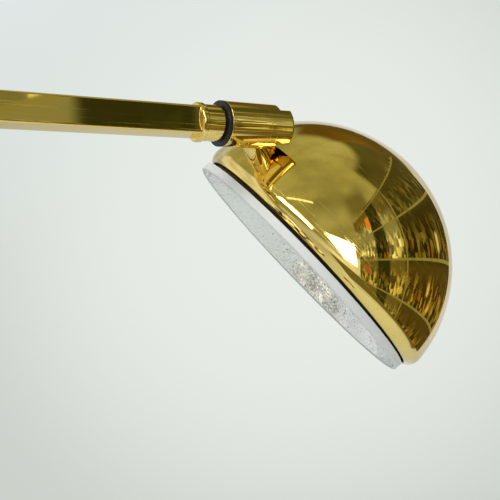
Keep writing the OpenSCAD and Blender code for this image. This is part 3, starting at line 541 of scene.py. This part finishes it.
def brass(name, lines, wear=0.5, centre=(0, 0, 0), turn=(0, 0, 0)):
    """Polished brass whose working lines repeat this often per metre along each turned axis."""
    material, tree, shader = principled(name, (0.87, 0.65, 0.21), 0.03, 1.0)
    grain_place = node(tree, "ShaderNodeMapping", vector_type="TEXTURE")
    grain_place.inputs["Location"].default_value = centre
    grain_place.inputs["Rotation"].default_value = turn
    grain_place.inputs["Scale"].default_value = [1.0 / line for line in lines]
    tree.links.new(object_place(tree), grain_place.inputs["Vector"])
    look = node(tree, "ShaderNodeGroup", node_tree=finish)
    look.inputs["Wear"].default_value = wear
    tree.links.new(object_place(tree), look.inputs["Place"])
    tree.links.new(grain_place.outputs["Vector"], look.inputs["Grain Place"])
    tree.links.new(look.outputs["Color"], shader.inputs["Base Color"])
    tree.links.new(look.outputs["Roughness"], shader.inputs["Roughness"])
    bump_node(tree, shader, look.outputs["Height"], 0.05, 0.00002)
    return material


turned_upright = brass("turned_upright_brass", (30, 30, 1600))
dress(turned_upright, "base_cover", "foot_flange")


# Stem
# Drawn square tube with a plug brazed into its foot for the base's rod, and a turned end fitting with
# a collar and a neck for the fork to turn on.

drawn_upright = brass("drawn_upright_brass", (1600, 1600, 14))
dress(drawn_upright, "stem_tube", "stem_plug")
dress(turned_upright, "stem_fitting")


# Dimmer
# A turned housing on a short neck, screwed to the stem. The dimmer inside is moulded from brown phenolic,
# and its grooved knob is turned from bar.

turned_forward = brass("turned_forward_brass", (30, 1600, 30))
dress(turned_forward, "switch_neck", "switch_housing", "switch_knob")
phenolic, phenolic_tree, phenolic_shader = principled("phenolic", (0.05, 0.03, 0.02), 0.4)
phenolic_fleck = noise_node(phenolic_tree, object_place(phenolic_tree), 800.0, 3.0)
phenolic_tree.links.new(mix_node(phenolic_tree, phenolic_fleck, (0.035, 0.02, 0.012), (0.08, 0.05, 0.03)),
                        phenolic_shader.inputs["Base Color"])
dress(phenolic, "dimmer")


# Fork and pivot block
# Both are milled from bar. The fork turns on the stem's neck, the block tilts between its cheeks, and
# the grooved knob on the pivot bolt sets how stiffly.

dress(drawn_upright, "fork")
dress(turned_forward, "tension_knob")
drawn_along = brass("drawn_along_brass", (14, 1600, 1600))
dress(drawn_along, "pivot_block")


# Arm and counterweight
# Two lengths of drawn square tube are brazed into the block. The counterweight is turned from solid bar,
# and the end fitting that carries the head has a rounded collar and a chamfered neck.

dress(drawn_along, "arm_tube", "tail_tube")
turned_along = brass("turned_along_brass", (1600, 30, 30))
dress(turned_along, "counterweight", "arm_fitting")


# Swivel barrel
# A turned barrel rolls on the arm's stud. Its end plug has two spanner flats, and the post that carries
# the shade is coped to the barrel at one end and to the globe at the other.

dress(turned_along, "swivel_barrel", "end_plug", "mount_post")


# Shade
# A half globe spun from one disc of brass, with its edge rolled in to stiffen it. It is made again here
# with finer rings than the frame's, so that its reflections bend evenly.

MM = 0.001
HEAD_ROLL = math.radians(33.5)
HEAD_TILT = math.radians(49.2)
POST_RISE = math.radians(11.6)
POST_STATION = 14.0 * MM
POST_END = 94.3 * MM
GLOBE_R = 75.0 * MM
SHEET = 0.9 * MM
RIM_R = 6.8 * MM
RIM_LOW = 0.6 * MM
RIM_TURN = math.radians(67)
RINGS_ROUND = 256

post_foot = Vector((-POST_END * math.cos(POST_RISE), 0, POST_END * math.sin(POST_RISE)))
head_turn = Matrix.Rotation(HEAD_ROLL, 4, "X") @ Matrix.Rotation(math.pi / 2 - HEAD_TILT, 4, "Y")
post_root = Matrix.Translation((NECK_END + POST_STATION, 0, ARM_HEIGHT))
head_place = post_root @ head_turn @ Matrix.Translation(-post_foot)


def arc(centre, radius, start, end, steps):
    points = []
    for i in range(steps + 1):
        angle = start + (end - start) * i / steps
        points.append((centre[0] + radius * math.cos(angle), centre[1] + radius * math.sin(angle)))
    return points


def lathe(name, outline, place, closed=True):
    """Turns an outline of (radius, height) points about the height axis and puts it in place."""
    made = bmesh.new()
    rows = []
    for i in range(RINGS_ROUND):
        angle = 2 * math.pi * i / RINGS_ROUND
        rows.append([made.verts.new((r * math.cos(angle), r * math.sin(angle), z)) for r, z in outline])
    count = len(outline) if closed else len(outline) - 1
    for row, following in zip(rows, rows[1:] + rows[:1]):
        for i in range(count):
            j = (i + 1) % len(outline)
            made.faces.new((row[i], row[j], following[j], following[i]))
    bmesh.ops.remove_doubles(made, verts=made.verts, dist=1e-7)
    if closed:
        bmesh.ops.recalc_face_normals(made, faces=made.faces)
    bmesh.ops.transform(made, matrix=place, verts=made.verts)
    mesh = bpy.data.meshes.new(name)
    made.to_mesh(mesh)
    made.free()
    mesh.polygons.foreach_set("use_smooth", [True] * len(mesh.polygons))
    mesh.set_sharp_from_angle(angle=math.radians(40))
    piece = bpy.data.objects.new(name, mesh)
    bpy.context.scene.collection.objects.link(piece)
    return piece


rim_rise = math.asin((RIM_LOW + RIM_R) / (GLOBE_R - RIM_R))
rim_centre = ((GLOBE_R - RIM_R) * math.cos(rim_rise), RIM_LOW + RIM_R)
shade_outline = arc((0, 0), GLOBE_R, math.pi / 2, rim_rise, 72)
shade_outline += arc(rim_centre, RIM_R, rim_rise, -RIM_TURN, 28)[1:]
shade_outline += arc(rim_centre, RIM_R - SHEET, -RIM_TURN, rim_rise, 14)
shade_outline += arc((0, 0), GLOBE_R - SHEET, rim_rise, math.pi / 2, 36)[1:]
shade = lathe("shade_spun", shade_outline, head_place)
spun_brass = brass("spun_brass", (30, 30, 1600), 0.5, SHADE_CENTRE, head_turn.to_euler())
shade.data.materials.append(spun_brass)
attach(shade, "head")
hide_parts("shade")


# Lamp socket and bulb
# A glazed porcelain socket hangs from the strap, with a brass shell inside for the bulb's cap. A porcelain
# ring clamps the reflector to its shoulder, and the bulb is satin opal glass.

porcelain, porcelain_tree, porcelain_shader = principled("porcelain", (0.86, 0.85, 0.81), 0.15)
porcelain_cloud = noise_node(porcelain_tree, object_place(porcelain_tree), 90.0)
porcelain_tree.links.new(mix_node(porcelain_tree, porcelain_cloud, (0.83, 0.82, 0.77), (0.88, 0.87, 0.84)),
                         porcelain_shader.inputs["Base Color"])
dress(porcelain, "lamp_socket", "socket_ring")
pressed_brass = brass("pressed_brass", (300, 300, 300), 0.8)
dress(pressed_brass, "socket_shell", "bulb_cap")
opal, opal_tree, opal_shader = principled("opal", (0.93, 0.93, 0.91), 0.25)
opal_cloud = noise_node(opal_tree, object_place(opal_tree), 60.0)
opal_tree.links.new(mix_node(opal_tree, opal_cloud, (0.91, 0.91, 0.88), (0.95, 0.95, 0.93)),
                    opal_shader.inputs["Base Color"])
dress(opal, "bulb_glass")


# Reflector
# A dish spun from aluminium sheet and anodised. Its face is hammered all over with fine marks to spread
# the light, and its lip is rolled and turned back up, smooth, just below the shade's rim. Its back is
# coloured near black as painted shade, so that the slot under the rim shows dark as a shadow gap.

LIP_R = 71.5 * MM
LIP_TOP = 0.2 * MM
LIP_BOTTOM = -4.2 * MM
ROLL_R = 0.9 * MM
DISH_DEPTH = 29.0 * MM
DISH_SHEET = 0.8 * MM
DISH_HOLE_R = 15.4 * MM
DISH_FLAT_R = 21.2 * MM
DISH_SHIFT = 1.8 * MM
DISH_SHIFT_TURN = math.radians(133)
BACK_EASE = 0.2 * MM
FACE_EASE = 0.1 * MM
PEBBLE_PITCH = 1.5 * MM
PEBBLE_WIDTH = 1.7 * MM
PEBBLE_HEIGHT = 0.10 * MM
PEBBLE_TILT = math.radians(9)
PEBBLE_DENSITY = 3e6
PEBBLE_SIDES = 7
PEBBLE_TOP_R = 0.36
PEBBLE_FOOT_R = 0.5
PEBBLE_LEAST = 0.75
PEBBLE_MOST = 1.2
PEBBLE_SEED = 7

dish_place = head_place @ Matrix.Rotation(DISH_SHIFT_TURN, 4, "Z") @ Matrix.Translation((DISH_SHIFT, 0, 0))
mouth = (LIP_R - 2 * ROLL_R, LIP_BOTTOM + ROLL_R)
dish_rise = DISH_DEPTH - mouth[1]
dish_low = (DISH_FLAT_R ** 2 + DISH_DEPTH ** 2 - mouth[0] ** 2 - mouth[1] ** 2) / (2 * dish_rise)
dish_r = math.hypot(mouth[0], mouth[1] - dish_low)


def dish_angle(radius, sphere):
    return math.acos(radius / sphere)


dish_face = arc((0, dish_low), dish_r, dish_angle(DISH_FLAT_R, dish_r), dish_angle(mouth[0], dish_r), 40)
dish_outer = dish_r + DISH_SHEET
reflector_outline = [(DISH_HOLE_R, DISH_DEPTH)] + dish_face
reflector_outline += arc((LIP_R - ROLL_R, mouth[1]), ROLL_R, math.pi, 2 * math.pi, 16)[1:]
reflector_outline += [(LIP_R, LIP_TOP), (LIP_R - DISH_SHEET, LIP_TOP)]
reflector_outline += [(LIP_R - DISH_SHEET, mouth[1] + ROLL_R)]
reflector_outline += arc((0, dish_low), dish_outer, dish_angle(mouth[0] + BACK_EASE, dish_outer),
                         dish_angle(DISH_FLAT_R, dish_outer), 24)
reflector_outline += [(DISH_HOLE_R, DISH_DEPTH + DISH_SHEET)]
reflector = lathe("reflector_spun", reflector_outline, dish_place)

alloy, alloy_tree, alloy_shader = principled("smooth_aluminium", (0.70, 0.71, 0.715), 0.6, 0.12)
alloy_lines = noise_node(alloy_tree, object_place(alloy_tree), 240.0, 3.0)
alloy_tree.links.new(mix_node(alloy_tree, alloy_lines, (0.68, 0.69, 0.695), (0.72, 0.73, 0.735)),
                     alloy_shader.inputs["Base Color"])
alloy_tree.links.new(ramp_node(alloy_tree, alloy_lines, 0.3, 0.7, 0.56, 0.66),
                     alloy_shader.inputs["Roughness"])
# Painted shade: the dish's back is coloured dark grey so that the slot between the lip and the rim looks
# shadowed.
painted_slot_shade, painted_slot_shade_tree, painted_slot_shade_shader = principled("painted_slot_shade", (0.12, 0.115, 0.105), 0.6)
painted_slot_shade_grain = noise_node(painted_slot_shade_tree, object_place(painted_slot_shade_tree), 900.0)
painted_slot_shade_tree.links.new(ramp_node(painted_slot_shade_tree, painted_slot_shade_grain, 0.3, 0.7, 0.5, 0.75), painted_slot_shade_shader.inputs["Roughness"])
peened, peened_tree, peened_shader = principled("peened_aluminium", (0.88, 0.885, 0.875), 0.3, 0.75)
peen_marks = node(peened_tree, "ShaderNodeTexVoronoi", feature="SMOOTH_F1")
peen_marks.inputs["Scale"].default_value = 620.0
peened_tree.links.new(object_place(peened_tree), peen_marks.inputs["Vector"])
peened_tree.links.new(ramp_node(peened_tree, peen_marks.outputs["Distance"], 0.1, 0.7, 0.10, 0.22),
                      peened_shader.inputs["Roughness"])
bump_node(peened_tree, peened_shader, peen_marks.outputs["Distance"], 0.12, 0.00015)

for material in (alloy, painted_slot_shade, peened):
    reflector.data.materials.append(material)
# Faces on the dish's back take the painted shade, and faces on its hollow side take the hammered finish.
SLOT_SHADE_INDEX = 1
FACE_INDEX = 2
from_place = dish_place.inverted()
for polygon in reflector.data.polygons:
    middle = from_place @ polygon.center
    out = math.hypot(middle.x, middle.y)
    depth = math.hypot(out, middle.z - dish_low) - dish_r
    if middle.z > mouth[1] + FACE_EASE and out < LIP_R - DISH_SHEET / 2:
        polygon.material_index = SLOT_SHADE_INDEX if depth > DISH_SHEET / 2 else FACE_INDEX
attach(reflector, "head")
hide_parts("reflector")

peening = bpy.data.node_groups.new("peening", "GeometryNodeTree")
peening.interface.new_socket("Geometry", in_out="INPUT", socket_type="NodeSocketGeometry")
peening.interface.new_socket("Geometry", in_out="OUTPUT", socket_type="NodeSocketGeometry")
peening_inputs = {}
for name, kind in (("Pitch", "NodeSocketFloat"), ("Width", "NodeSocketFloat"),
                   ("Height", "NodeSocketFloat"), ("Tilt", "NodeSocketFloat"),
                   ("Seed", "NodeSocketInt"), ("Material", "NodeSocketMaterial")):
    made_socket = peening.interface.new_socket(name, in_out="INPUT", socket_type=kind)
    peening_inputs[name] = made_socket.identifier
peen_in = node(peening, "NodeGroupInput")
peen_points = node(peening, "GeometryNodeDistributePointsOnFaces", distribute_method="POISSON")
peen_points.inputs["Density Max"].default_value = PEBBLE_DENSITY
peening.links.new(peen_in.outputs["Geometry"], peen_points.inputs["Mesh"])
peening.links.new(peen_in.outputs["Pitch"], peen_points.inputs["Distance Min"])
peening.links.new(peen_in.outputs["Seed"], peen_points.inputs["Seed"])
pebble = node(peening, "GeometryNodeMeshCone", fill_type="TRIANGLE_FAN")
pebble.inputs["Vertices"].default_value = PEBBLE_SIDES
pebble.inputs["Side Segments"].default_value = 1
pebble.inputs["Radius Top"].default_value = PEBBLE_TOP_R
pebble.inputs["Radius Bottom"].default_value = PEBBLE_FOOT_R
pebble.inputs["Depth"].default_value = 1.0
pebble_size = node(peening, "ShaderNodeCombineXYZ")
for axis, name in (("X", "Width"), ("Y", "Width"), ("Z", "Height")):
    peening.links.new(peen_in.outputs[name], pebble_size.inputs[axis])
# A random value's vector sockets come first, then its float sockets.
pebble_vary = node(peening, "FunctionNodeRandomValue", data_type="FLOAT")
pebble_vary.inputs[2].default_value = PEBBLE_LEAST
pebble_vary.inputs[3].default_value = PEBBLE_MOST
peening.links.new(peen_in.outputs["Seed"], pebble_vary.inputs["Seed"])
pebble_scale = node(peening, "ShaderNodeVectorMath", operation="SCALE")
peening.links.new(pebble_size.outputs[0], pebble_scale.inputs[0])
peening.links.new(pebble_vary.outputs[1], pebble_scale.inputs["Scale"])
tilt_most = node(peening, "ShaderNodeCombineXYZ")
tilt_least = node(peening, "ShaderNodeVectorMath", operation="SCALE")
tilt_least.inputs["Scale"].default_value = -1.0
for axis in ("X", "Y"):
    peening.links.new(peen_in.outputs["Tilt"], tilt_most.inputs[axis])
peening.links.new(tilt_most.outputs[0], tilt_least.inputs[0])
pebble_tilt = node(peening, "FunctionNodeRandomValue", data_type="FLOAT_VECTOR")
peening.links.new(tilt_least.outputs[0], pebble_tilt.inputs[0])
peening.links.new(tilt_most.outputs[0], pebble_tilt.inputs[1])
peening.links.new(peen_in.outputs["Seed"], pebble_tilt.inputs["Seed"])
tilt_turn = node(peening, "FunctionNodeEulerToRotation")
peening.links.new(pebble_tilt.outputs[0], tilt_turn.inputs[0])
pebble_turn = node(peening, "FunctionNodeRotateRotation", rotation_space="LOCAL")
peening.links.new(peen_points.outputs["Rotation"], pebble_turn.inputs[0])
peening.links.new(tilt_turn.outputs[0], pebble_turn.inputs[1])
pebbles = node(peening, "GeometryNodeInstanceOnPoints")
peening.links.new(peen_points.outputs["Points"], pebbles.inputs["Points"])
peening.links.new(pebble.outputs["Mesh"], pebbles.inputs["Instance"])
peening.links.new(pebble_turn.outputs[0], pebbles.inputs["Rotation"])
peening.links.new(pebble_scale.outputs[0], pebbles.inputs["Scale"])
peen_real = node(peening, "GeometryNodeRealizeInstances")
peening.links.new(pebbles.outputs["Instances"], peen_real.inputs[0])
peen_dress = node(peening, "GeometryNodeSetMaterial")
peening.links.new(peen_real.outputs[0], peen_dress.inputs["Geometry"])
peening.links.new(peen_in.outputs["Material"], peen_dress.inputs["Material"])
peening.links.new(peen_dress.outputs[0], node(peening, "NodeGroupOutput").inputs["Geometry"])

face = lathe("dish_face", dish_face, dish_place, closed=False)
face_made = bmesh.new()
face_made.from_mesh(face.data)
face_made.faces.ensure_lookup_table()
dish_middle = dish_place @ Vector((0, 0, dish_low))
first_face = face_made.faces[0]
if first_face.normal.dot(dish_middle - first_face.calc_center_median()) < 0:
    bmesh.ops.reverse_faces(face_made, faces=face_made.faces)
face_made.to_mesh(face.data)
face_made.free()
peen = face.modifiers.new("peening", "NODES")
peen.node_group = peening
for name, value in (("Pitch", PEBBLE_PITCH), ("Width", PEBBLE_WIDTH), ("Height", PEBBLE_HEIGHT),
                    ("Tilt", PEBBLE_TILT), ("Seed", PEBBLE_SEED), ("Material", peened)):
    peen[peening_inputs[name]] = value
bpy.context.view_layer.update()
peened_mesh = bpy.data.meshes.new_from_object(face.evaluated_get(bpy.context.evaluated_depsgraph_get()))
face.modifiers.remove(peen)
bpy.data.objects.remove(face)
peened_face = bpy.data.objects.new("reflector_peening", peened_mesh)
bpy.context.scene.collection.objects.link(peened_face)
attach(peened_face, "head")
